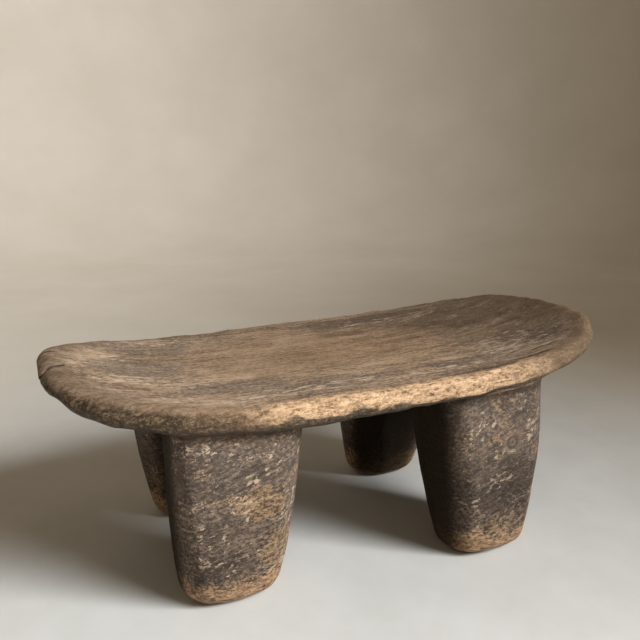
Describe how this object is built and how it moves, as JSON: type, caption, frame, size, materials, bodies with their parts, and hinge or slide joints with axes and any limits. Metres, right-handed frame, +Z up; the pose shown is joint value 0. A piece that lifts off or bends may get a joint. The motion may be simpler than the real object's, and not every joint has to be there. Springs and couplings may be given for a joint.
{
  "type": "headrest",
  "caption": "Long low carved wooden headrest: an oval dished slab with upswept ends and a rounded rim, on stout tapering legs.",
  "frame": {"origin": "on the floor, under the centre of the seat's plan", "axes": "+X along the length towards the higher end, +Y towards the back, +Z up"},
  "size_m": [0.6, 0.2951, 0.2284],
  "materials": {
    "seat_wood": "worn, waxy, open-grained; bright on the rim and greyed at the ends",
    "leg_wood": "dark smoked patina, scratched through to pale wood, worn pale at the feet"
  },
  "bodies": {
    "root": {"seat": "seat_wood", "leg_front_left": "leg_wood", "leg_front_right": "leg_wood", "leg_rear_left": "leg_wood", "leg_rear_right": "leg_wood"}
  },
  "joints": []
}
